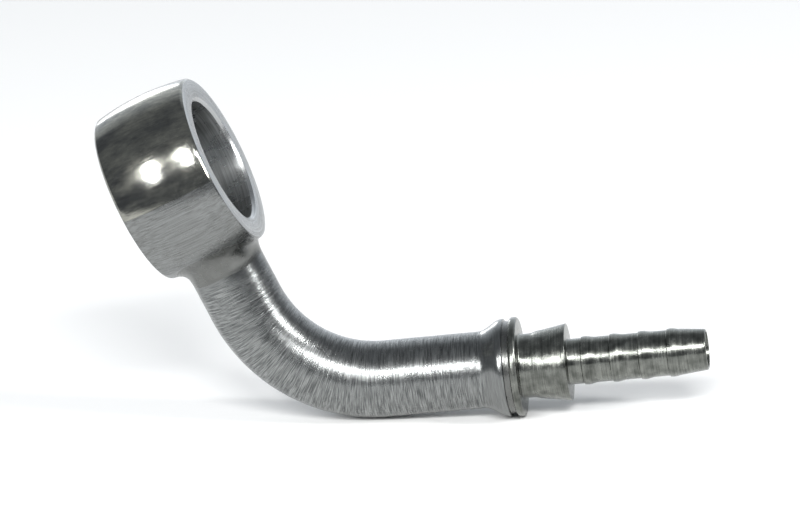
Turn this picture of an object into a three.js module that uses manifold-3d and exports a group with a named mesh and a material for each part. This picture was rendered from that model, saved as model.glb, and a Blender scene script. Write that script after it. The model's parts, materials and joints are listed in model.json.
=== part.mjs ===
// Bent banjo hose end in brazed stainless steel: an eye for a banjo bolt, a bent neck
// tube and a barbed hose nipple. Millimetres. The origin is the middle of the eye's
// bore, +Z is up and +X runs the way the hose leaves, as the part lies on a bench.
import * as THREE from 'three';
import { mergeVertices } from 'three/addons/utils/BufferGeometryUtils.js';
import Module from 'manifold-3d';

const wasm = await Module();
wasm.setup();

// Driving dimensions of the eye. Its round is crowned, and eyeRadius is its size at the rims.
const boreRadius = 7.05;
const eyeRadius = 9.75;
const crownHeight = 0.5;
const eyeWidth = 11;
const boreChamfer = 0.35;
const rimChamfer = 0.25;
const flankStep = 0.13;

// Driving dimensions of the neck tube. The lead is the straight run from the middle
// of the eye to the bend, and the run is the straight from the bend to the tube's end.
const neckRadius = 4.25;
const passageRadius = 2.5;
const leadLength = 15.8;
const bendRadius = 15.4;
const bendAngle = THREE.MathUtils.degToRad(70);
const runLength = 13.65;
const flareLength = 3;
const flareRadius = 5.42;
const socketFloor = 1;

// Driving dimensions of the brazed seams.
const brazeGap = 0.05;
const filletTop = 2.5;
const filletSpreadAlong = 5.2;
const filletSpreadAcross = 6.8;
const filletSquareness = 4;
const bandWidth = 0.6;
const bandRecess = 0.1;

// Driving dimensions of the hose nipple.
const nippleBoreRadius = 1.65;
const spigotLength = 3.8;
const flangeRadius = 5.5;
const flangeWidth = 0.9;
const edgeRound = 0.18;
const undercutRadius = 3.55;
const undercutLength = 1.3;
const collarFootRadius = 3.74;
const collarRadius = 4.28;
const collarLength = 3.4;
const collarEaseLength = 0.6;
const rootRadius = 2.52;
const rootLength = 1.9;
const barbRadius = 2.68;
const barbPitch = 3.2;
const barbCount = 4;
const barbRise = 0.2;
const barbFall = 1.2;
const tipLength = 3.85;
const tipRadius = 2.3;
const tipRound = 0.2;
// The flange's and the collar's stop faces start this far outside what lies beyond them.
const seatClearance = 0.12;

const eyeSides = 64;
const roundSides = 32;
const bendSteps = 12;
const curveSteps = 5;
const crownSteps = 8;
const past = 1;

const hoseSteel = { roughness: 0.32, metalness: 1 };
const eyeMaterial = new THREE.MeshStandardMaterial({ color: '#8e908f', ...hoseSteel });
const neckMaterial = new THREE.MeshStandardMaterial({ color: '#7d7f7d', ...hoseSteel });
const nippleMaterial = new THREE.MeshStandardMaterial({ color: '#80827f', ...hoseSteel });
const brazeMaterial = new THREE.MeshStandardMaterial({
  color: '#7a7a70',
  roughness: 0.45,
  metalness: 1,
});

// Points [radius, along] of a turned outline run up its outside and down its bore.
function turnedAboutX(outline, sides) {
  const points = outline.map(([radius, along]) => new THREE.Vector2(radius, along));
  points.push(points[0].clone());
  return new THREE.LatheGeometry(points, sides).rotateZ(-Math.PI / 2);
}

function turnedAboutZ(outline, sides) {
  return turnedAboutX(outline, sides).rotateY(-Math.PI / 2);
}

function welded(geometry) {
  const bare = geometry.clone();
  bare.deleteAttribute('normal');
  bare.deleteAttribute('uv');
  return mergeVertices(bare, 1e-5);
}

function toSolid(geometry) {
  const merged = welded(geometry);
  return new wasm.Manifold(new wasm.Mesh({
    numProp: 3,
    vertProperties: new Float32Array(merged.attributes.position.array),
    triVerts: new Uint32Array(merged.index.array),
  }));
}

function toGeometry(solid) {
  const mesh = solid.getMesh();
  const geometry = new THREE.BufferGeometry();
  geometry.setAttribute('position', new THREE.BufferAttribute(mesh.vertProperties, 3));
  geometry.setIndex(new THREE.BufferAttribute(mesh.triVerts, 1));
  geometry.computeVertexNormals();
  return geometry;
}

function namedMesh(name, geometry, material) {
  const mesh = new THREE.Mesh(geometry, material);
  mesh.name = name;
  return mesh;
}

// A round bar or hole along X between two stations.
function barAlongX(radius, start, end) {
  const bar = new THREE.CylinderGeometry(radius, radius, end - start, roundSides);
  return bar.rotateZ(-Math.PI / 2).translate((start + end) / 2, 0, 0);
}

// Moves each vertex of a shape turned about X onto the bent centreline. X counts
// along the centreline from the middle of the eye, and the bend turns towards +Z.
function bendAlongCentreline(geometry) {
  const position = geometry.attributes.position;
  for (let i = 0; i < position.count; i += 1) {
    const along = position.getX(i);
    const inPlane = position.getZ(i);
    const turned = THREE.MathUtils.clamp((along - leadLength) / bendRadius, 0, bendAngle);
    const lead = Math.min(along, leadLength);
    const run = Math.max(along - leadLength - bendRadius * bendAngle, 0);
    const reach = bendRadius - inPlane;
    const x = lead + reach * Math.sin(turned) + run * Math.cos(turned);
    const z = bendRadius - reach * Math.cos(turned) + run * Math.sin(turned);
    position.setXYZ(i, x, position.getY(i), z);
  }
  geometry.computeVertexNormals();
  return geometry;
}

// The eye is a chamfered, crowned ring. Its half on the neck's side is milled a little
// smaller, and a socket and a cross hole on the neck's axis lead into the bore.
const flankRadius = eyeRadius - flankStep;
const socketDepthAt = boreRadius + socketFloor;
const crownEdge = eyeWidth / 2 - rimChamfer;

function crownAt(z) {
  return crownHeight * Math.max(0, 1 - (z / crownEdge) ** 2);
}

function crownedRound(rimRadius) {
  const rows = [];
  for (let i = 0; i <= crownSteps; i += 1) {
    const z = THREE.MathUtils.lerp(-crownEdge, crownEdge, i / crownSteps);
    rows.push([rimRadius + crownAt(z), z]);
  }
  return rows;
}

function eyeGeometry() {
  const half = eyeWidth / 2;
  const ring = toSolid(turnedAboutZ([
    [boreRadius + boreChamfer, -half],
    [eyeRadius - rimChamfer, -half],
    ...crownedRound(eyeRadius),
    [eyeRadius - rimChamfer, half],
    [boreRadius + boreChamfer, half],
    [boreRadius, half - boreChamfer],
    [boreRadius, boreChamfer - half],
  ], eyeSides));
  const span = eyeRadius + past;
  const depth = eyeWidth + 2 * past;
  const halfBlock = toSolid(new THREE.BoxGeometry(span, 2 * span, depth).translate(span / 2, 0, 0));
  const core = turnedAboutZ([
    [boreRadius / 2, -depth],
    [flankRadius, -depth],
    ...crownedRound(flankRadius),
    [flankRadius, depth],
    [boreRadius / 2, depth],
  ], eyeSides);
  const milled = halfBlock.subtract(toSolid(core));
  const socket = toSolid(barAlongX(neckRadius + brazeGap, socketDepthAt - brazeGap, span));
  const crossHole = toSolid(barAlongX(passageRadius, 0, span));
  return toGeometry(ring.subtract(milled).subtract(socket).subtract(crossHole));
}

// The braze fillet fills the corner between the neck and the round of the eye.
// In its outline, spread runs from the neck out over the eye and rise up the neck.
function filletGeometry() {
  const outline = [];
  for (let i = 0; i <= curveSteps; i += 1) {
    outline.push([i / curveSteps, 0]);
  }
  for (let i = 1; i <= curveSteps; i += 1) {
    const turn = (1 - i / (curveSteps + 1)) * (Math.PI / 2);
    outline.push([1 - Math.cos(turn), 1 - Math.sin(turn)]);
  }
  outline.push([0, 1]);
  const profile = outline.map(([spread, rise]) => [spread + past, rise]);
  const geometry = turnedAboutX(profile, roundSides);
  const position = geometry.attributes.position;
  const top = flankRadius + filletTop;
  for (let i = 0; i < position.count; i += 1) {
    const angle = Math.atan2(position.getZ(i), position.getY(i));
    const spread = Math.hypot(position.getY(i), position.getZ(i)) - past;
    const across = Math.abs(Math.cos(angle)) / filletSpreadAcross;
    const alongBore = Math.abs(Math.sin(angle)) / filletSpreadAlong;
    const edge = (across ** filletSquareness + alongBore ** filletSquareness) ** (-1 / filletSquareness);
    const radius = THREE.MathUtils.lerp(neckRadius + brazeGap, edge, spread);
    const y = radius * Math.cos(angle);
    const z = radius * Math.sin(angle);
    const seat = Math.sqrt((flankRadius + crownAt(z) + brazeGap) ** 2 - y ** 2);
    position.setXYZ(i, THREE.MathUtils.lerp(seat, top, position.getX(i)), y, z);
  }
  geometry.computeVertexNormals();
  return geometry;
}

// The neck tube seats in the eye's socket, turns through the bend and swells to a rim.
const bendEndAlong = leadLength + bendRadius * bendAngle;
const neckEndAlong = bendEndAlong + runLength;

function neckGeometry() {
  const flareStart = neckEndAlong - flareLength;
  const outside = [[neckRadius, socketDepthAt]];
  for (let i = 0; i <= bendSteps; i += 1) {
    outside.push([neckRadius, leadLength + (bendRadius * bendAngle * i) / bendSteps]);
  }
  const bore = outside.slice(1).map(([, along]) => [passageRadius, along]);
  const swellSteps = 2 * curveSteps;
  for (let i = 0; i <= swellSteps; i += 1) {
    const swell = (1 - Math.cos((Math.PI * i) / swellSteps)) / 2;
    const radius = THREE.MathUtils.lerp(neckRadius, flareRadius, swell);
    outside.push([radius, flareStart + ((flareLength - edgeRound) * i) / swellSteps]);
  }
  outside.push([flareRadius - edgeRound / 2, neckEndAlong]);
  const inside = [[passageRadius, neckEndAlong], ...bore.reverse(), [passageRadius, socketDepthAt]];
  return bendAlongCentreline(turnedAboutX([...outside, ...inside], roundSides));
}

// The tail's stations count along the hose nipple's axis from the end of the bend.
const flangeStart = runLength + bandWidth;
const flangeEnd = flangeStart + flangeWidth;
const undercutEnd = flangeEnd + undercutLength;
const collarEnd = undercutEnd + collarEaseLength + collarLength;
const barbStart = collarEnd + rootLength;
const tipStart = barbStart + barbPitch * (barbCount - 1) + barbFall;
const spigotRadius = passageRadius - brazeGap;

// A band of braze fills the groove between the neck's rim and the nipple's flange.
function bandGeometry() {
  const start = runLength + brazeGap;
  const end = flangeStart - brazeGap;
  const outer = flareRadius - bandRecess;
  return turnedAboutX([[outer, start], [outer, end], [passageRadius, end], [passageRadius, start]], roundSides);
}

function barbOutline() {
  const outline = [];
  for (let barb = 0; barb < barbCount; barb += 1) {
    const crest = barbStart + barb * barbPitch;
    outline.push([rootRadius, crest - barbRise], [barbRadius, crest]);
    for (let i = 1; i <= curveSteps; i += 1) {
      const height = (1 + Math.cos((Math.PI * i) / curveSteps)) / 2;
      const radius = THREE.MathUtils.lerp(rootRadius, barbRadius, height);
      outline.push([radius, crest + (barbFall * i) / curveSteps]);
    }
  }
  return outline;
}

// The hose nipple: spigot, flange, undercut, cone-shaped collar, barbs and tapered tip.
function nippleGeometry() {
  const tipEnd = tipStart + tipLength - barbFall;
  const outline = [
    [spigotRadius, runLength - spigotLength],
    [spigotRadius, flangeStart],
    [flangeRadius - edgeRound, flangeStart],
    [flangeRadius, flangeStart + edgeRound],
    [flangeRadius, flangeEnd - edgeRound],
    [flangeRadius - edgeRound, flangeEnd],
    [collarRadius + seatClearance, flangeEnd],
    [undercutRadius, flangeEnd],
    [undercutRadius, undercutEnd],
    [collarFootRadius, undercutEnd + collarEaseLength],
    [collarRadius, collarEnd - edgeRound],
    [collarRadius - edgeRound, collarEnd],
    [barbRadius + seatClearance, collarEnd],
    [rootRadius, collarEnd],
    ...barbOutline(),
    [tipRadius, tipEnd - tipRound],
    [tipRadius - tipRound, tipEnd],
    [nippleBoreRadius, tipEnd],
    [nippleBoreRadius, runLength - spigotLength],
  ];
  return turnedAboutX(outline, roundSides);
}

// The tail tilts up until the bend's underside and the flange stand on one level.
// With the tail tilted by t, their undersides meet where
// (bendRadius + flangeRadius) cos t - flangeFoot sin t = bendRadius + neckRadius.
const flangeFoot = flangeEnd - edgeRound;
const levelReach = Math.hypot(bendRadius + flangeRadius, flangeFoot);
const levelLead = Math.atan2(flangeFoot, bendRadius + flangeRadius);
const restTilt = Math.acos((bendRadius + neckRadius) / levelReach) - levelLead;

// In this frame +X leaves the eye along the neck and +Z runs along the eye's bore.
const eyeFrame = new THREE.Group();
eyeFrame.rotation.y = bendAngle - restTilt;
eyeFrame.add(namedMesh('banjo_eye', eyeGeometry(), eyeMaterial));
eyeFrame.add(namedMesh('eye_braze_fillet', filletGeometry(), brazeMaterial));
eyeFrame.add(namedMesh('bent_neck_tube', neckGeometry(), neckMaterial));

// In this frame +X runs along the hose nipple from the end of the bend.
const tailFrame = new THREE.Group();
tailFrame.position.set(
  leadLength + bendRadius * Math.sin(bendAngle),
  0,
  bendRadius * (1 - Math.cos(bendAngle)),
);
tailFrame.rotation.y = -bendAngle;
tailFrame.add(namedMesh('shoulder_braze_band', bandGeometry(), brazeMaterial));
tailFrame.add(namedMesh('hose_nipple', nippleGeometry(), nippleMaterial));
eyeFrame.add(tailFrame);

const banjoHoseEnd = new THREE.Group();
banjoHoseEnd.add(eyeFrame);
export default banjoHoseEnd;
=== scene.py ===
import json
import math

import bmesh
import bpy
from mathutils import Matrix, Vector


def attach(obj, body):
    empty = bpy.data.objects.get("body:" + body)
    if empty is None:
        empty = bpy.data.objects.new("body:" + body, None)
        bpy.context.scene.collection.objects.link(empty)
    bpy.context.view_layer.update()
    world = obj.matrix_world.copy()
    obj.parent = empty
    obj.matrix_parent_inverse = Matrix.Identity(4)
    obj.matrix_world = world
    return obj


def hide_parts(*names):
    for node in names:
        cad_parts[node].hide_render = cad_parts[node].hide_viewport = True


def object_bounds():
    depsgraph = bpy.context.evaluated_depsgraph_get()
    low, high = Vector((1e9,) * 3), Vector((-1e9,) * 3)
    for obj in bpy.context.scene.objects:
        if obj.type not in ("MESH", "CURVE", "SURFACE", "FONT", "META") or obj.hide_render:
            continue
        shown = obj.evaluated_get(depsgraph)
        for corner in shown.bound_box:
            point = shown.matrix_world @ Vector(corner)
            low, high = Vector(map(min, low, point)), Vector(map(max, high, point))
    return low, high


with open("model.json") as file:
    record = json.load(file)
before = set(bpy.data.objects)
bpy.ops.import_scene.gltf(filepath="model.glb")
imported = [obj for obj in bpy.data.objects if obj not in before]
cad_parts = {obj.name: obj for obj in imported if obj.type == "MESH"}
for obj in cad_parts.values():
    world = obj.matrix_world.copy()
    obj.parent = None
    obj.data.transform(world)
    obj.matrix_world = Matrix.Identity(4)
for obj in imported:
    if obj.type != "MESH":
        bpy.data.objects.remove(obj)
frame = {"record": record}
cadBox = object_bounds()
print("frame loaded")

mm = 0.001
weld = 0.0005 * mm  # points closer than this are merged
mounts = {mount["name"]: mount for mount in frame["record"]["mounts"]}
boreAxis = Vector(mounts["banjo_bolt_axis"]["axis"]).normalized()
tailAxis = Vector(mounts["ferrule_stop_face"]["axis"]).normalized()
acrossAxis = Vector((0, 1, 0))
neckAxis = acrossAxis.cross(boreAxis)
bendAngle = neckAxis.angle(tailAxis)

# The neck's centreline, in mm: lead is the straight from the eye's middle to the bend, and run is the
# straight after it.
route = {"lead": 15.8, "bendRadius": 15.4, "run": 13.65}


def turnFrom(xAxis, zAxis):
    return Matrix((xAxis, acrossAxis, zAxis)).transposed().to_4x4()


# The eye's frame has +X along the neck and +Z along the bore. The tail's frame starts at the end of the bend
# and has +X along the tail.
eyeTurn = turnFrom(neckAxis, boreAxis)
bendEnd = Vector((
    route["lead"] + route["bendRadius"] * math.sin(bendAngle),
    0,
    route["bendRadius"] * (1 - math.cos(bendAngle)),
))
tailTurn = Matrix.Translation(eyeTurn @ (bendEnd * mm)) @ turnFrom(tailAxis, tailAxis.cross(acrossAxis))


def bearing(azimuth, height):
    # the way to something this many degrees round from straight in front, towards the tail, and this many up
    turn, lift = math.radians(azimuth), math.radians(height)
    return Vector((math.sin(turn) * math.cos(lift), -math.cos(turn) * math.cos(lift), math.sin(lift)))


def alongX(along, radius):
    return along, radius, 0


def alongZ(along, radius):
    return radius, 0, along


def addOutline(mesh, points, toPlace):
    # one closed loop of edges, rounded later and spun into a turned piece
    verts = [mesh.verts.new(toPlace(along * mm, radius * mm)) for along, radius in points]
    for first, second in zip(verts, verts[1:] + verts[:1]):
        mesh.edges.new((first, second))
    return verts


def roundCorners(mesh, verts, size, segments=4):
    bmesh.ops.bevel(
        mesh, geom=verts, offset=size * mm, offset_type="OFFSET", segments=segments,
        profile=0.5, affect="VERTICES", material=-1,
    )


def spinWhole(mesh, axis, steps):
    bmesh.ops.spin(
        mesh, geom=mesh.verts[:] + mesh.edges[:], cent=(0, 0, 0), axis=axis, dvec=(0, 0, 0),
        angle=math.tau, steps=steps, use_merge=True, use_duplicate=False,
    )


def cleanUp(mesh):
    bmesh.ops.remove_doubles(mesh, verts=mesh.verts, dist=weld)
    bmesh.ops.recalc_face_normals(mesh, faces=mesh.faces)


def cutWith(mesh, tool):
    # takes the tool's shape out of the mesh, and uses both of them up
    holders = []
    for part in (mesh, tool):
        data = bpy.data.meshes.new("cut")
        part.to_mesh(data)
        part.free()
        holder = bpy.data.objects.new("cut", data)
        bpy.context.scene.collection.objects.link(holder)
        holders.append(holder)
    modifier = holders[0].modifiers.new("cut", "BOOLEAN")
    modifier.operation = "DIFFERENCE"
    modifier.solver = "EXACT"
    modifier.object = holders[1]
    bpy.context.view_layer.update()
    result = bmesh.new()
    result.from_object(holders[0], bpy.context.evaluated_depsgraph_get())
    for holder in holders:
        data = holder.data
        bpy.data.objects.remove(holder)
        bpy.data.meshes.remove(data)
    bmesh.ops.remove_doubles(result, verts=result.verts, dist=weld)
    return result


def finishPiece(mesh, name, turn, material, nodeName, creaseDegrees=32):
    for face in mesh.faces:
        face.smooth = True
    for edge in mesh.edges:
        edge.smooth = edge.calc_face_angle(0) < math.radians(creaseDegrees)
    mesh.transform(turn)
    data = bpy.data.meshes.new(name)
    mesh.to_mesh(data)
    mesh.free()
    piece = bpy.data.objects.new(name, data)
    bpy.context.scene.collection.objects.link(piece)
    data.materials.append(material)
    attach(piece, "root")
    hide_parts(nodeName)
    print("made", name, len(data.polygons), "faces")


def linear(hexColour):
    channels = [int(hexColour[i : i + 2], 16) / 255 for i in (1, 3, 5)]
    return [c / 12.92 if c <= 0.04045 else ((c + 0.055) / 1.055) ** 2.4 for c in channels] + [1]


def perMetre(size):
    # how often a mark of this size in mm repeats in a metre, which is the scale of its pattern
    return 1000 / size


# Noise seldom leaves this span, so the span is what gets stretched to a full range.
noiseLow, noiseHigh = 0.3, 0.7


def startMaterial(name):
    material = bpy.data.materials.new(name)
    material.use_nodes = True
    material.node_tree.nodes.clear()
    return material


def addNode(material, kind, settings=None, inputs=None):
    # settings are the node's own properties; inputs are values, or (node, output) pairs to link
    node = material.node_tree.nodes.new(kind)
    for key, value in (settings or {}).items():
        setattr(node, key, value)
    for key, value in (inputs or {}).items():
        if isinstance(value, tuple) and hasattr(value[0], "outputs"):
            material.node_tree.links.new(value[0].outputs[value[1]], node.inputs[key])
        else:
            node.inputs[key].default_value = value
    return node


# Camera: the part is seen from its -Y side, a little towards the tail and from above.
cameraSet = {
    "azimuth": 6.9,
    "elevation": 15.62,
    "roll": -2.84,
    "distance": 660.7,
    "lens": 270,
    "sensorWidth": 36,
    "nearest": 0.01,  # metres, as is furthest
    "furthest": 10,
    "aim": (-0.38, -0.51, -1.66),  # mm from the middle of the part's box
}
middle = (cadBox[0] + cadBox[1]) / 2
towardsCamera = bearing(cameraSet["azimuth"], cameraSet["elevation"])
cameraData = bpy.data.cameras.new("bench camera")
cameraData.lens = cameraSet["lens"]
cameraData.sensor_width = cameraSet["sensorWidth"]
cameraData.clip_start = cameraSet["nearest"]
cameraData.clip_end = cameraSet["furthest"]
camera = bpy.data.objects.new("bench camera", cameraData)
bpy.context.scene.collection.objects.link(camera)
camera.location = middle + Vector(cameraSet["aim"]) * mm + towardsCamera * cameraSet["distance"] * mm
levelTurn = (-towardsCamera).to_track_quat("-Z", "Y")
rollTurn = Matrix.Rotation(math.radians(cameraSet["roll"]), 3, "Z").to_quaternion()
camera.rotation_mode = "QUATERNION"
camera.rotation_quaternion = levelTurn @ rollTurn
bpy.context.scene.camera = camera
print("camera set")


# The eye, in mm. The half on the neck's side is milled smaller by flankStep.
eyeSet = {
    "bore": 7.05,
    "outside": 9.75,  # at the rims; crown is how far the middle of the round stands above them
    "crown": 0.5,
    "width": 11,
    "boreChamfer": 0.35,
    "rimChamfer": 0.25,
    "cornerRound": 0.04,
    "cornerSegments": 3,
    "flankStep": 0.13,
    "stepBlend": 0.05,
    "socketRadius": 4.3,
    "socketStart": 8.0,
    "crossHole": 2.5,
    "crossHoleStart": 2.0,
    "cutEnd": 14,  # both cutters end here, well outside the round
    "cutSegments": 96,
    "steps": 288,
    "crownRows": 20,
    "creaseDegrees": 30,
}


# Stainless steel ring: faced and bored on a lathe, then its round linished along the bore's axis. The lines
# spread a lamp's glint round the ring but not along it, and the milled half is duller and more scratched.
def makeEyeSteel():
    look = {
        "ringPitch": 0.15,  # mm; the real rings and lines are finer, and are drawn this coarse to show
        "arcLength": 8.0,
        "linePitch": 0.15,
        "lineLength": 14.0,
        "smudge": 2.2,
        "smudgeLength": 5.5,
        "roundFrom": 0.3,  # the round's finish starts this far under the rims' radius
        "roundFull": 0.2,
        "dark": "#626361",
        "light": "#7b7c7a",
        # painted sheen: the faces and bore are coloured lighter than the round, for the light they catch
        "face": "#c8cacb",
        "faceMarks": (0.15, 0.75),
        "flank": "#8e9090",
        "flankMarks": (0.1, 0.9),
        "stain": "#b2b1a5",
        "stainFrom": 0.38,
        "stainFull": 0.66,
        "stainMost": 0.8,
        "roughLow": 0.1,
        "roughHigh": 0.18,
        "flankRough": 0.13,  # added to the round's own
        "faceRough": 0.14,
        "relief": 0.012,
        "faceRelief": 0.15,  # shares of relief; the round's and the flank's add up
        "roundRelief": 0.25,
        "flankRelief": 0.4,
    }
    material = startMaterial("stainless steel ring, faced and linished")
    back = eyeTurn.inverted()
    coordinates = addNode(material, "ShaderNodeTexCoord")
    place = addNode(material, "ShaderNodeMapping", {"vector_type": "POINT"}, {
        "Vector": (coordinates, "Object"),
        "Location": back.to_translation(),
        "Rotation": back.to_euler(),
    })
    split = addNode(material, "ShaderNodeSeparateXYZ", inputs={"Vector": (place, "Vector")})
    flat = addNode(material, "ShaderNodeCombineXYZ", inputs={"X": (split, "X"), "Y": (split, "Y")})
    reach = addNode(material, "ShaderNodeVectorMath", {"operation": "LENGTH"}, {0: (flat, "Vector")})

    # masks, from 0 to 1: the whole round, its milled half, its polished half, and all that isn't the round
    outside = eyeSet["outside"] * mm
    onRound = addNode(material, "ShaderNodeMapRange", {"clamp": True}, {
        "Value": (reach, "Value"),
        "From Min": outside - look["roundFrom"] * mm,
        "From Max": outside - look["roundFull"] * mm,
    })
    towardsNeck = addNode(material, "ShaderNodeMapRange", {"clamp": True}, {
        "Value": (split, "X"),
        "From Min": 0.0,
        "From Max": eyeSet["stepBlend"] * mm,
    })
    onFlank = addNode(material, "ShaderNodeMath", {"operation": "MULTIPLY"}, {
        0: (onRound, "Result"),
        1: (towardsNeck, "Result"),
    })
    onPolish = addNode(material, "ShaderNodeMath", {"operation": "SUBTRACT"}, {
        0: (onRound, "Result"),
        1: (onFlank, "Value"),
    })
    offRound = addNode(material, "ShaderNodeMath", {"operation": "SUBTRACT"}, {
        0: 1.0,
        1: (onRound, "Result"),
    })

    # lathe rings, which are long arcs because their height changes slowly round the piece
    ringAt = addNode(material, "ShaderNodeMath", {"operation": "ADD"}, {
        0: (split, "Z"),
        1: (reach, "Value"),
    })
    ringPlace = addNode(material, "ShaderNodeCombineXYZ", inputs={
        "X": (ringAt, "Value"),
        "Y": (split, "X"),
        "Z": (split, "Y"),
    })
    arcs = perMetre(look["arcLength"])
    ringSpace = addNode(material, "ShaderNodeVectorMath", {"operation": "MULTIPLY"}, {
        0: (ringPlace, "Vector"),
        1: (perMetre(look["ringPitch"]), arcs, arcs),
    })
    rings = addNode(material, "ShaderNodeTexNoise", {"noise_dimensions": "3D"}, {
        "Vector": (ringSpace, "Vector"),
        "Scale": 1.0,
        "Detail": 2,
        "Roughness": 0.6,
    })
    # linishing lines along the bore's axis
    across = perMetre(look["linePitch"])
    lineSpace = addNode(material, "ShaderNodeVectorMath", {"operation": "MULTIPLY"}, {
        0: (place, "Vector"),
        1: (across, across, perMetre(look["lineLength"])),
    })
    lines = addNode(material, "ShaderNodeTexNoise", {"noise_dimensions": "3D"}, {
        "Vector": (lineSpace, "Vector"),
        "Scale": 1.0,
        "Detail": 3,
        "Roughness": 0.6,
    })
    # smudges of polish, drawn out along the lines
    smudgeAcross = perMetre(look["smudge"])
    smudgeSpace = addNode(material, "ShaderNodeVectorMath", {"operation": "MULTIPLY"}, {
        0: (place, "Vector"),
        1: (smudgeAcross, smudgeAcross, perMetre(look["smudgeLength"])),
    })
    smudges = addNode(material, "ShaderNodeTexNoise", {"noise_dimensions": "3D"}, {
        "Vector": (smudgeSpace, "Vector"),
        "Scale": 1.0,
        "Detail": 5,
        "Roughness": 0.72,
    })
    marks = addNode(material, "ShaderNodeMix", {"data_type": "FLOAT"}, {
        "Factor": (onRound, "Result"),
        "A": (rings, "Fac"),
        "B": (lines, "Fac"),
    })

    # colour: the plain round, faces with painted sheen, the paler milled half and the stained polished half
    marksShown = addNode(material, "ShaderNodeMapRange", {"clamp": True}, {
        "Value": (marks, "Result"),
        "From Min": noiseLow,
        "From Max": noiseHigh,
    })
    roundTone = addNode(material, "ShaderNodeMix", {"data_type": "RGBA"}, {
        "Factor": (marksShown, "Result"),
        "A": linear(look["dark"]),
        "B": linear(look["light"]),
    })
    ringsShown = addNode(material, "ShaderNodeMapRange", {"clamp": True}, {
        "Value": (rings, "Fac"),
        "From Min": noiseLow,
        "From Max": noiseHigh,
        "To Min": look["faceMarks"][0],
        "To Max": look["faceMarks"][1],
    })
    # faces and bore: a lighter colour as painted sheen for the light they catch, with their lathe rings
    faceToneWithSheen = addNode(material, "ShaderNodeMix", {"data_type": "RGBA"}, {
        "Factor": (ringsShown, "Result"),
        "A": linear(look["face"]),
        "B": linear(look["light"]),
    })
    tone = addNode(material, "ShaderNodeMix", {"data_type": "RGBA", "clamp_factor": True}, {
        "Factor": (offRound, "Value"),
        "A": (roundTone, "Result"),
        "B": (faceToneWithSheen, "Result"),
    })
    linesShown = addNode(material, "ShaderNodeMapRange", {"clamp": True}, {
        "Value": (lines, "Fac"),
        "From Min": noiseLow,
        "From Max": noiseHigh,
        "To Min": look["flankMarks"][0],
        "To Max": look["flankMarks"][1],
    })
    flankShare = addNode(material, "ShaderNodeMath", {"operation": "MULTIPLY"}, {
        0: (onFlank, "Value"),
        1: (linesShown, "Result"),
    })
    tone = addNode(material, "ShaderNodeMix", {"data_type": "RGBA"}, {
        "Factor": (flankShare, "Value"),
        "A": (tone, "Result"),
        "B": linear(look["flank"]),
    })
    stained = addNode(material, "ShaderNodeMapRange", {"clamp": True}, {
        "Value": (smudges, "Fac"),
        "From Min": look["stainFrom"],
        "From Max": look["stainFull"],
        "To Max": look["stainMost"],
    })
    stainShare = addNode(material, "ShaderNodeMath", {"operation": "MULTIPLY"}, {
        0: (onPolish, "Value"),
        1: (stained, "Result"),
    })
    tone = addNode(material, "ShaderNodeMix", {"data_type": "RGBA"}, {
        "Factor": (stainShare, "Value"),
        "A": (tone, "Result"),
        "B": linear(look["stain"]),
    })

    # gloss and relief: the polished half is the smoothest
    polish = addNode(material, "ShaderNodeMapRange", {"clamp": True}, {
        "Value": (smudges, "Fac"),
        "From Min": noiseLow,
        "From Max": noiseHigh,
        "To Min": look["roughLow"],
        "To Max": look["roughHigh"],
    })
    rough = addNode(material, "ShaderNodeMath", {"operation": "MULTIPLY_ADD"}, {
        0: (onFlank, "Value"),
        1: look["flankRough"],
        2: (polish, "Result"),
    })
    rough = addNode(material, "ShaderNodeMath", {"operation": "MULTIPLY_ADD"}, {
        0: (offRound, "Value"),
        1: look["faceRough"],
        2: (rough, "Value"),
    })
    depth = addNode(material, "ShaderNodeMath", {"operation": "MULTIPLY_ADD"}, {
        0: (onRound, "Result"),
        1: look["roundRelief"],
        2: look["faceRelief"],
    })
    depth = addNode(material, "ShaderNodeMath", {"operation": "MULTIPLY_ADD"}, {
        0: (onFlank, "Value"),
        1: look["flankRelief"],
        2: (depth, "Value"),
    })
    bump = addNode(material, "ShaderNodeBump", inputs={
        "Height": (marks, "Result"),
        "Strength": (depth, "Value"),
        "Distance": look["relief"] * mm,
    })
    surface = addNode(material, "ShaderNodeBsdfPrincipled", inputs={
        "Base Color": (tone, "Result"),
        "Metallic": 1.0,
        "Roughness": (rough, "Value"),
        "Normal": (bump, "Normal"),
    })
    addNode(material, "ShaderNodeOutputMaterial", inputs={"Surface": (surface, "BSDF")})
    return material


def crownAt(along):
    # how far the crowned round stands above its rims
    edge = eyeSet["width"] / 2 - eyeSet["rimChamfer"]
    return eyeSet["crown"] * max(0, 1 - (along / edge) ** 2)


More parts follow.
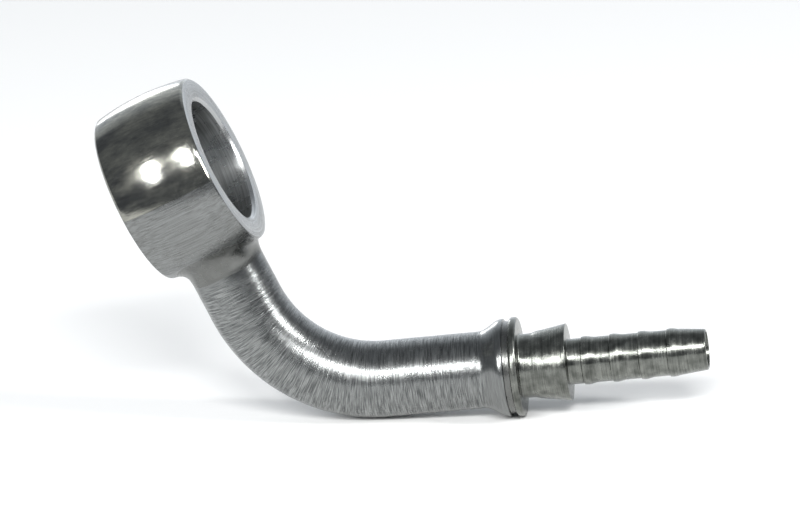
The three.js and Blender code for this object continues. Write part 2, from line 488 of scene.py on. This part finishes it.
def makeEye():
    mesh = bmesh.new()
    half = eyeSet["width"] / 2
    bore, outside = eyeSet["bore"], eyeSet["outside"]
    chamfer, rows = eyeSet["rimChamfer"], eyeSet["crownRows"]
    crowned = []
    for i in range(rows + 1):
        along = (2 * i / rows - 1) * (half - chamfer)
        crowned.append((along, outside + crownAt(along)))
    verts = addOutline(mesh, [
        (-half, bore + eyeSet["boreChamfer"]),
        (-half, outside - chamfer),
        *crowned,
        (half, outside - chamfer),
        (half, bore + eyeSet["boreChamfer"]),
        (half - eyeSet["boreChamfer"], bore),
        (eyeSet["boreChamfer"] - half, bore),
    ], alongZ)
    # every corner is rounded but the rows between the two rims
    roundCorners(mesh, verts[:3] + verts[-5:], eyeSet["cornerRound"], eyeSet["cornerSegments"])
    spinWhole(mesh, (0, 0, 1), eyeSet["steps"])
    cleanUp(mesh)

    # the milled half starts at a crease across the round
    for start in (0, eyeSet["stepBlend"]):
        bmesh.ops.bisect_plane(
            mesh, geom=mesh.verts[:] + mesh.edges[:] + mesh.faces[:], dist=weld / 5,
            plane_co=(start * mm, 0, 0), plane_no=(1, 0, 0),
        )
    milledFrom = eyeSet["stepBlend"] * mm - 2 * weld
    for vert in mesh.verts:
        reach = math.hypot(vert.co.x, vert.co.y)
        milledTo = (outside - eyeSet["flankStep"] + crownAt(vert.co.z / mm)) * mm
        if vert.co.x > milledFrom and reach > milledTo:
            vert.co.x *= milledTo / reach
            vert.co.y *= milledTo / reach

    # the neck's socket, and the cross hole that feeds the neck from the bore
    cuts = (
        (eyeSet["socketRadius"], eyeSet["socketStart"]),
        (eyeSet["crossHole"], eyeSet["crossHoleStart"]),
    )
    quarterTurn = Matrix.Rotation(math.pi / 2, 3, "Y")
    for radius, start in cuts:
        tool = bmesh.new()
        depth = eyeSet["cutEnd"] - start
        bmesh.ops.create_cone(
            tool, cap_ends=True, segments=eyeSet["cutSegments"],
            radius1=radius * mm, radius2=radius * mm, depth=depth * mm,
        )
        bmesh.ops.rotate(tool, verts=tool.verts, cent=(0, 0, 0), matrix=quarterTurn)
        bmesh.ops.translate(tool, verts=tool.verts, vec=((start + depth / 2) * mm, 0, 0))
        mesh = cutWith(mesh, tool)
    crease = eyeSet["creaseDegrees"]
    finishPiece(mesh, "eye_ring", eyeTurn, makeEyeSteel(), "banjo_eye", crease)


makeEye()


# Metal marked in rings round its own X axis, by a lathe or a brush. The rings catch the light as thin arcs,
# and soft patches of tone and gloss break its highlights up.
def makeRingedMetal(name, turn, look):
    material = startMaterial(name)
    back = turn.inverted()
    coordinates = addNode(material, "ShaderNodeTexCoord")
    place = addNode(material, "ShaderNodeMapping", {"vector_type": "POINT"}, {
        "Vector": (coordinates, "Object"),
        "Location": back.to_translation(),
        "Rotation": back.to_euler(),
    })
    split = addNode(material, "ShaderNodeSeparateXYZ", inputs={"Vector": (place, "Vector")})
    flat = addNode(material, "ShaderNodeCombineXYZ", inputs={"X": (split, "Y"), "Y": (split, "Z")})
    reach = addNode(material, "ShaderNodeVectorMath", {"operation": "LENGTH"}, {0: (flat, "Vector")})

    # a ring's height changes slowly round the piece, so its marks are long arcs
    ringAt = addNode(material, "ShaderNodeMath", {"operation": "ADD"}, {
        0: (split, "X"),
        1: (reach, "Value"),
    })
    ringPlace = addNode(material, "ShaderNodeCombineXYZ", inputs={
        "X": (ringAt, "Value"),
        "Y": (split, "Y"),
        "Z": (split, "Z"),
    })
    arcs = perMetre(look["arcLength"])
    ringSpace = addNode(material, "ShaderNodeVectorMath", {"operation": "MULTIPLY"}, {
        0: (ringPlace, "Vector"),
        1: (perMetre(look["ringPitch"]), arcs, arcs),
    })
    rings = addNode(material, "ShaderNodeTexNoise", {"noise_dimensions": "3D"}, {
        "Vector": (ringSpace, "Vector"),
        "Scale": 1.0,
        "Detail": 2,
        "Roughness": 0.6,
    })
    patchSpace = addNode(material, "ShaderNodeVectorMath", {"operation": "MULTIPLY"}, {
        0: (place, "Vector"),
        1: (perMetre(look["patchSize"]),) * 3,
    })
    patches = addNode(material, "ShaderNodeTexNoise", {"noise_dimensions": "3D"}, {
        "Vector": (patchSpace, "Vector"),
        "Scale": 1.0,
        "Detail": 3,
        "Roughness": 0.5,
    })

    # tone follows the patches more than the rings, and keeps nearer to its middle than one noise does
    patchShare, blendLow, blendHigh = 0.6, 0.36, 0.64
    ringTone = addNode(material, "ShaderNodeMath", {"operation": "MULTIPLY"}, {
        0: (rings, "Fac"),
        1: 1 - patchShare,
    })
    blend = addNode(material, "ShaderNodeMath", {"operation": "MULTIPLY_ADD"}, {
        0: (patches, "Fac"),
        1: patchShare,
        2: (ringTone, "Value"),
    })
    blendShown = addNode(material, "ShaderNodeMapRange", {"clamp": True}, {
        "Value": (blend, "Value"),
        "From Min": blendLow,
        "From Max": blendHigh,
    })
    tone = addNode(material, "ShaderNodeMix", {"data_type": "RGBA"}, {
        "Factor": (blendShown, "Result"),
        "A": linear(look["dark"]),
        "B": linear(look["light"]),
    })
    ringRough = addNode(material, "ShaderNodeMapRange", {"clamp": True}, {
        "Value": (rings, "Fac"),
        "From Min": noiseLow,
        "From Max": noiseHigh,
        "To Min": look["roughLow"],
        "To Max": look["roughHigh"],
    })
    patchRough = addNode(material, "ShaderNodeMapRange", {"clamp": True}, {
        "Value": (patches, "Fac"),
        "From Min": noiseLow,
        "From Max": noiseHigh,
        "To Min": -look["roughPatch"],
        "To Max": look["roughPatch"],
    })
    rough = addNode(material, "ShaderNodeMath", {"operation": "ADD"}, {
        0: (ringRough, "Result"),
        1: (patchRough, "Result"),
    })
    bump = addNode(material, "ShaderNodeBump", inputs={
        "Height": (rings, "Fac"),
        "Strength": look["bump"],
        "Distance": look["relief"] * mm,
    })
    surface = addNode(material, "ShaderNodeBsdfPrincipled", inputs={
        "Base Color": (tone, "Result"),
        "Metallic": 1.0,
        "Roughness": (rough, "Value"),
        "Normal": (bump, "Normal"),
    })
    addNode(material, "ShaderNodeOutputMaterial", inputs={"Surface": (surface, "BSDF")})
    return material


# Silver brazing alloy, flowed and brushed: smooth, a little dull and a little warmer than the steel, with
# only faint marks.
brazeMetal = makeRingedMetal("silver brazing alloy, flowed and brushed", eyeTurn, {
    "ringPitch": 0.5,
    "arcLength": 3.0,
    "patchSize": 2.2,
    "dark": "#676866",
    "light": "#787977",
    "roughLow": 0.24,
    "roughHigh": 0.3,
    "roughPatch": 0.04,
    "bump": 0.15,
    "relief": 0.01,
})

# The braze fillet, in mm in the eye's frame. It covers a rounded square of the eye's round, which reaches
# along and across from the neck's axis, and climbs the neck by top.
filletSet = {
    "neck": 4.235,
    "seat": 9.6,
    "top": 2.55,
    "along": 5.2,
    "across": 6.8,
    "squareness": 4,
    "hug": 1.35,  # above 1 the fillet keeps closer to the corner
    "rows": 16,
    "steps": 192,
    "creaseDegrees": 50,
}


def makeFillet():
    mesh = bmesh.new()
    count, hug = filletSet["rows"], filletSet["hug"]
    # spread and rise both run from 0 to 1, with the arc bowed in between the eye and the neck
    points = [(0, i / count) for i in range(count + 1)]
    for i in range(1, count):
        turn = (1 - i / count) * math.pi / 2
        points.append(((1 - math.sin(turn)) ** hug, (1 - math.cos(turn)) ** hug))
    points.append((1, 0))
    # the section is spun as a plain ring from 1 to 2 mm, then pulled out to its seat
    ringInside = 1
    addOutline(mesh, [(rise, ringInside + spread) for rise, spread in points], alongX)
    spinWhole(mesh, (1, 0, 0), filletSet["steps"])
    cleanUp(mesh)
    power = filletSet["squareness"]
    top = eyeSet["outside"] - eyeSet["flankStep"] + filletSet["top"]
    for vert in mesh.verts:
        angle = math.atan2(vert.co.z, vert.co.y)
        spread = math.hypot(vert.co.y, vert.co.z) / mm - ringInside
        rise = vert.co.x / mm
        across = (abs(math.cos(angle)) / filletSet["across"]) ** power
        along = (abs(math.sin(angle)) / filletSet["along"]) ** power
        edge = (across + along) ** (-1 / power)
        radius = filletSet["neck"] + (edge - filletSet["neck"]) * spread
        y, z = radius * math.cos(angle), radius * math.sin(angle)
        seat = math.sqrt((filletSet["seat"] + crownAt(z)) ** 2 - y**2)
        vert.co = Vector((seat + (top - seat) * rise, y, z)) * mm
    cleanUp(mesh)
    crease = filletSet["creaseDegrees"]
    finishPiece(mesh, "eye_fillet", eyeTurn, brazeMetal, "eye_braze_fillet", crease)


makeFillet()

# The neck tube, in mm, with its end swelled to a rim.
neckSet = {
    "radius": 4.25,
    "passage": 2.5,
    "socket": 8.05,
    "flare": 5.42,
    "flareLength": 3.0,
    "rimWidth": 0.18,
    "rimRound": 0.38,
    "bendRows": 72,
    "swellRows": 14,
    "steps": 160,
}
bendStop = route["lead"] + route["bendRadius"] * bendAngle
neckEnd = bendStop + route["run"]


# Stainless steel tube dressed with emery cloth: short scratches round the tube break every highlight up.
def makeEmeryTube():
    look = {
        "scratch": 0.1,  # mm between scratches; the real grit is finer, and is drawn this coarse to show
        "length": 2.0,
        "finer": 2.2,  # a second set of scratches is this much closer, and finerShort times shorter
        "finerShort": 1.7,
        "finerShare": 0.6,
        "patch": 1.6,
        "relief": 0.018,
        "dark": "#585a5a",
        "light": "#9c9e9d",
        "plain": 0.45,  # the tone between dark and light where the tube isn't dressed
        "heightLow": 0.62,  # the span of both sets' heights added, spread over the full contrast
        "heightHigh": 0.98,
        "contrast": 0.5,
        "roughLow": 0.17,
        "roughHigh": 0.23,
        "dressedRough": 0.07,
        "dressedFrom": 11.2,  # mm from the eye's middle
        "dressedFull": 12.8,
        "eyeShare": 0.2,  # how much of the dressing is left at the braze, and at the rim
        "rimShare": 0.3,
        "fadeStart": 3.0,  # mm before the tube's end
        "fadeEnd": 1.6,
    }
    material = startMaterial("stainless steel tube, emery finish")
    # where a point was while the tube was straight
    straight = addNode(material, "ShaderNodeAttribute", {"attribute_name": "straightPlace"})
    close, long = perMetre(look["scratch"]), perMetre(look["length"])
    scratchSpace = addNode(material, "ShaderNodeVectorMath", {"operation": "MULTIPLY"}, {
        0: (straight, "Vector"),
        1: (close, long, long),
    })
    scratches = addNode(material, "ShaderNodeTexNoise", {"noise_dimensions": "3D"}, {
        "Vector": (scratchSpace, "Vector"),
        "Scale": 1.0,
        "Detail": 2,
        "Roughness": 0.5,
    })
    close, long = close * look["finer"], long * look["finerShort"]
    finerSpace = addNode(material, "ShaderNodeVectorMath", {"operation": "MULTIPLY"}, {
        0: (straight, "Vector"),
        1: (close, long, long),
    })
    finerScratches = addNode(material, "ShaderNodeTexNoise", {"noise_dimensions": "3D"}, {
        "Vector": (finerSpace, "Vector"),
        "Scale": 1.0,
        "Detail": 2,
        "Roughness": 0.6,
    })
    patchSpace = addNode(material, "ShaderNodeVectorMath", {"operation": "MULTIPLY"}, {
        0: (straight, "Vector"),
        1: (perMetre(look["patch"]),) * 3,
    })
    patches = addNode(material, "ShaderNodeTexNoise", {"noise_dimensions": "3D"}, {
        "Vector": (patchSpace, "Vector"),
        "Scale": 1.0,
        "Detail": 3,
        "Roughness": 0.5,
    })

    # dressed runs from 0 to 1 and fades towards the braze and the rim
    along = addNode(material, "ShaderNodeSeparateXYZ", inputs={"Vector": (straight, "Vector")})
    fromEye = addNode(material, "ShaderNodeMapRange", {"clamp": True}, {
        "Value": (along, "X"),
        "From Min": look["dressedFrom"] * mm,
        "From Max": look["dressedFull"] * mm,
        "To Min": look["eyeShare"],
        "To Max": 1,
    })
    toRim = addNode(material, "ShaderNodeMapRange", {"clamp": True}, {
        "Value": (along, "X"),
        "From Min": (neckEnd - look["fadeStart"]) * mm,
        "From Max": (neckEnd - look["fadeEnd"]) * mm,
        "To Min": 1,
        "To Max": look["rimShare"],
    })
    dressed = addNode(material, "ShaderNodeMath", {"operation": "MULTIPLY"}, {
        0: (fromEye, "Result"),
        1: (toRim, "Result"),
    })

    height = addNode(material, "ShaderNodeMath", {"operation": "MULTIPLY_ADD"}, {
        0: (finerScratches, "Fac"),
        1: look["finerShare"],
        2: (scratches, "Fac"),
    })
    contrast = addNode(material, "ShaderNodeMapRange", {"clamp": True}, {
        "Value": (height, "Value"),
        "From Min": look["heightLow"],
        "From Max": look["heightHigh"],
        "To Min": -look["contrast"],
        "To Max": look["contrast"],
    })
    toneAt = addNode(material, "ShaderNodeMath", {"operation": "MULTIPLY_ADD"}, {
        0: (contrast, "Result"),
        1: (dressed, "Value"),
        2: look["plain"],
    })
    tone = addNode(material, "ShaderNodeMix", {"data_type": "RGBA"}, {
        "Factor": (toneAt, "Value"),
        "A": linear(look["dark"]),
        "B": linear(look["light"]),
    })
    dressedHeight = addNode(material, "ShaderNodeMath", {"operation": "MULTIPLY"}, {
        0: (height, "Value"),
        1: (dressed, "Value"),
    })
    patchRough = addNode(material, "ShaderNodeMapRange", {"clamp": True}, {
        "Value": (patches, "Fac"),
        "From Min": noiseLow,
        "From Max": noiseHigh,
        "To Min": look["roughLow"],
        "To Max": look["roughHigh"],
    })
    rough = addNode(material, "ShaderNodeMath", {"operation": "MULTIPLY_ADD"}, {
        0: (dressed, "Value"),
        1: look["dressedRough"],
        2: (patchRough, "Result"),
    })
    bump = addNode(material, "ShaderNodeBump", inputs={
        "Height": (dressedHeight, "Value"),
        "Strength": 1.0,
        "Distance": look["relief"] * mm,
    })
    surface = addNode(material, "ShaderNodeBsdfPrincipled", inputs={
        "Base Color": (tone, "Result"),
        "Metallic": 1.0,
        "Roughness": (rough, "Value"),
        "Normal": (bump, "Normal"),
    })
    addNode(material, "ShaderNodeOutputMaterial", inputs={"Surface": (surface, "BSDF")})
    return material


def onCentreline(place):
    # a point of the straight tube, with x along its centreline, goes to its place on the bent one
    lead, radius = route["lead"] * mm, route["bendRadius"] * mm
    turned = min(max((place.x - lead) / radius, 0), bendAngle)
    run = max(place.x - lead - radius * bendAngle, 0)
    reach = radius - place.z
    return Vector((
        min(place.x, lead) + reach * math.sin(turned) + run * math.cos(turned),
        place.y,
        radius - reach * math.cos(turned) + run * math.sin(turned),
    ))


def makeNeck():
    mesh = bmesh.new()
    straight = mesh.verts.layers.float_vector.new("straightPlace")
    radius, passage, socket = neckSet["radius"], neckSet["passage"], neckSet["socket"]
    rows = neckSet["bendRows"]
    stations = [route["lead"] + (bendStop - route["lead"]) * i / rows for i in range(rows + 1)]
    points = [(socket, radius)] + [(station, radius) for station in stations]
    swellStart = neckEnd - neckSet["flareLength"]
    swellLength = neckSet["flareLength"] - neckSet["rimWidth"]
    for i in range(neckSet["swellRows"] + 1):
        swell = (1 - math.cos(math.pi * i / neckSet["swellRows"])) / 2
        points.append((
            swellStart + swellLength * i / neckSet["swellRows"],
            radius + (neckSet["flare"] - radius) * swell,
        ))
    rim = len(points)
    points += [(neckEnd, neckSet["flare"]), (neckEnd, passage)]
    points += [(station, passage) for station in reversed(stations)] + [(socket, passage)]
    verts = addOutline(mesh, points, alongX)
    roundCorners(mesh, [verts[rim]], neckSet["rimRound"])
    spinWhole(mesh, (1, 0, 0), neckSet["steps"])
    cleanUp(mesh)
    for vert in mesh.verts:
        vert[straight] = vert.co.copy()
        vert.co = onCentreline(vert.co)
    finishPiece(mesh, "neck_tube", eyeTurn, makeEmeryTube(), "bent_neck_tube")


makeNeck()

# The braze band in the groove of the shoulder, in mm along the tail from the end of the bend.
bandSet = {
    "start": 13.5,
    "end": 14.42,
    "inner": 4.6,
    "outer": 5.14,
    "hollow": 0.04,
    "hollowRound": 0.15,
    "steps": 192,
}


def makeBand():
    mesh = bmesh.new()
    start, end, outer = bandSet["start"], bandSet["end"], bandSet["outer"]
    verts = addOutline(mesh, [
        (start, bandSet["inner"]),
        (start, outer),
        ((start + end) / 2, outer - bandSet["hollow"]),
        (end, outer),
        (end, bandSet["inner"]),
    ], alongX)
    roundCorners(mesh, verts[2:3], bandSet["hollowRound"])
    spinWhole(mesh, (1, 0, 0), bandSet["steps"])
    cleanUp(mesh)
    finishPiece(mesh, "shoulder_band", tailTurn, brazeMetal, "shoulder_braze_band")


makeBand()

# Stainless steel bar turned on a lathe: bright, with rings that break its highlights into thin arcs.
nippleSteel = makeRingedMetal("turned stainless steel, nipple", tailTurn, {
    "ringPitch": 0.14,  # mm; the real rings are finer, and are drawn this coarse to show
    "arcLength": 5.0,
    "patchSize": 1.1,
    "dark": "#555753",
    "light": "#868883",
    "roughLow": 0.2,
    "roughHigh": 0.28,
    "roughPatch": 0.06,
    "bump": 0.6,
    "relief": 0.018,
})

# The hose nipple, in mm along the tail from the end of the bend.
nippleSet = {
    "bore": 1.65,
    "spigot": 2.45,
    "spigotStart": 9.85,
    "flange": 5.5,
    "flangeStart": 14.25,
    "flangeEnd": 15.15,
    "undercut": 3.55,
    "undercutEnd": 16.45,
    # the collar eases out of the undercut, then runs up to its stop face as a cone
    "collar": ((17.05, 3.74), (17.8, 3.84), (18.5, 3.95), (19.2, 4.06), (19.85, 4.18)),
    "collarRadius": 4.28,
    "collarLean": 0.02,
    "collarEnd": 20.45,
    "root": 2.52,
    "barb": 2.68,
    "barbs": 4,
    "firstBarb": 22.38,
    "pitch": 3.17,
    "foot": 0.1,
    "rise": 0.34,
    "crestEase": 0.04,
    "fall": 1.2,
    "fallRows": 8,
    "tip": 2.26,
    "tipEnd": 35.8,
    "mouth": 1.97,
    "mouthDepth": 2.2,
    "mouthTaper": 0.3,
    "flangeRound": 0.34,
    "innerRound": 0.3,
    "edgeRound": 0.05,
    "collarRound": 0.09,
    "tipRound": 0.2,
    "steps": 192,
}


def makeNipple():
    mesh = bmesh.new()
    n = nippleSet
    points, rounds = [], {}

    def corner(along, radius, size=0):
        if size:
            rounds.setdefault(size, []).append(len(points))
        points.append((along, radius))

    corner(n["spigotStart"], n["bore"])
    corner(n["spigotStart"], n["spigot"], n["edgeRound"])
    corner(n["flangeStart"], n["spigot"])
    corner(n["flangeStart"], n["flange"], n["flangeRound"])
    corner(n["flangeEnd"], n["flange"], n["flangeRound"])
    corner(n["flangeEnd"], n["undercut"], n["innerRound"])
    corner(n["undercutEnd"], n["undercut"], n["innerRound"])
    for along, radius in n["collar"]:
        corner(along, radius)
    corner(n["collarEnd"] - n["collarLean"], n["collarRadius"], n["collarRound"])
    corner(n["collarEnd"], n["root"], n["innerRound"] / 2)
    for barb in range(n["barbs"]):
        crest = n["firstBarb"] + barb * n["pitch"]
        corner(crest - n["rise"] - n["foot"], n["root"])
        corner(crest - n["rise"], n["barb"] - n["crestEase"])
        corner(crest, n["barb"])
        for i in range(1, n["fallRows"] + 1):
            height = (1 + math.cos(math.pi * i / n["fallRows"])) / 2
            corner(crest + n["fall"] * i / n["fallRows"], n["root"] + (n["barb"] - n["root"]) * height)
    corner(n["tipEnd"], n["tip"], n["tipRound"])
    # the bore opens a little at the mouth
    corner(n["tipEnd"], n["mouth"], n["edgeRound"] / 2)
    corner(n["tipEnd"] - n["mouthDepth"], n["mouth"])
    corner(n["tipEnd"] - n["mouthDepth"] - n["mouthTaper"], n["bore"])
    verts = addOutline(mesh, points, alongX)
    for size, places in rounds.items():
        roundCorners(mesh, [verts[i] for i in places], size)
    spinWhole(mesh, (1, 0, 0), n["steps"])
    cleanUp(mesh)
    finishPiece(mesh, "hose_tail", tailTurn, nippleSteel, "hose_nipple")


makeNipple()

# Studio: a pale bench with soft panels round it and two small lamps. A light's azimuth and height are in
# degrees as bearing takes them, its distance and size in mm, and its glow is how bright its face is.
studioSet = {
    "floor": "#f8f8f7",
    "floorWidth": 5000,
    "floorFront": 95,
    "floorGap": 0.02,
    "roomColour": "#f2f8ff",
    "roomDim": 0.26,
    "roomBack": 1.5,
    "fadeFrom": 0.4,  # how much a direction points backwards, from 0 to 1
    "fadeTo": 1.0,
    "lights": {
        "front panel": {
            "azimuth": 15, "height": 36.5, "distance": 1200, "size": (560, 180), "roll": 8, "glow": 33,
        },
        "side panel": {
            "azimuth": 73, "height": 29, "distance": 1200, "size": (200, 400), "roll": 0, "glow": 31,
        },
        "back panel": {
            "azimuth": -158, "height": 14, "distance": 1500, "size": (300, 380), "roll": 0, "glow": 4.5,
        },
        "left lamp": {
            "azimuth": -28.6, "height": 21.6, "distance": 500, "size": (46, 230), "roll": 34, "glow": 26,
        },
        "right lamp": {
            "azimuth": -11.9, "height": 30.2, "distance": 500, "size": (38, 200), "roll": 34, "glow": 26,
        },
    },
}


# Matt white paper, uncoated: it has no gloss, so it shows nothing but the part's soft shadow.
def makePaper():
    paper = startMaterial("matt white paper")
    surface = addNode(paper, "ShaderNodeBsdfPrincipled", inputs={
        "Base Color": linear(studioSet["floor"]),
        "Roughness": 0.9,
        "Specular IOR Level": 0.0,
    })
    addNode(paper, "ShaderNodeOutputMaterial", inputs={"Surface": (surface, "BSDF")})
    return paper


def makeBench():
    mesh = bmesh.new()
    bmesh.ops.create_grid(mesh, x_segments=4, y_segments=4, size=studioSet["floorWidth"] * mm / 2)
    # the paper ends a little in front of the part, which mirrors the darker room beyond it
    shift = studioSet["floorWidth"] / 2 - studioSet["floorFront"]
    place = (middle.x, middle.y + shift * mm, cadBox[0].z - studioSet["floorGap"] * mm)
    bmesh.ops.translate(mesh, verts=mesh.verts, vec=place)
    data = bpy.data.meshes.new("bench")
    mesh.to_mesh(data)
    mesh.free()
    bench = bpy.data.objects.new("bench", data)
    bpy.context.scene.collection.objects.link(bench)
    data.materials.append(makePaper())


def makeLights():
    for name, place in studioSet["lights"].items():
        light = bpy.data.lights.new(name, "AREA")
        light.shape = "ELLIPSE" if "lamp" in name else "RECTANGLE"
        light.size, light.size_y = (side * mm for side in place["size"])
        light.energy = place["glow"] * math.pi * light.size * light.size_y
        holder = bpy.data.objects.new(name, light)
        bpy.context.scene.collection.objects.link(holder)
        away = bearing(place["azimuth"], place["height"])
        holder.location = away * place["distance"] * mm
        facing = (-away).to_track_quat("-Z", "Y").to_matrix()
        holder.rotation_euler = (facing @ Matrix.Rotation(math.radians(place["roll"]), 3, "Z")).to_euler()


def makeRoom():
    # the room is dim in front of the bench and paler behind it
    world = bpy.data.worlds.new("studio")
    bpy.context.scene.world = world
    world.use_nodes = True
    background = world.node_tree.nodes["Background"]
    background.inputs["Color"].default_value = linear(studioSet["roomColour"])
    direction = addNode(world, "ShaderNodeTexCoord")
    split = addNode(world, "ShaderNodeSeparateXYZ", inputs={"Vector": (direction, "Generated")})
    fade = addNode(world, "ShaderNodeMapRange", {"clamp": True}, {
        "Value": (split, "Y"),
        "From Min": studioSet["fadeFrom"],
        "From Max": studioSet["fadeTo"],
        "To Min": studioSet["roomDim"],
        "To Max": studioSet["roomBack"],
    })
    world.node_tree.links.new(fade.outputs["Result"], background.inputs["Strength"])


makeBench()
makeLights()
makeRoom()
bpy.context.scene.view_settings.view_transform = "Standard"
print("studio set")
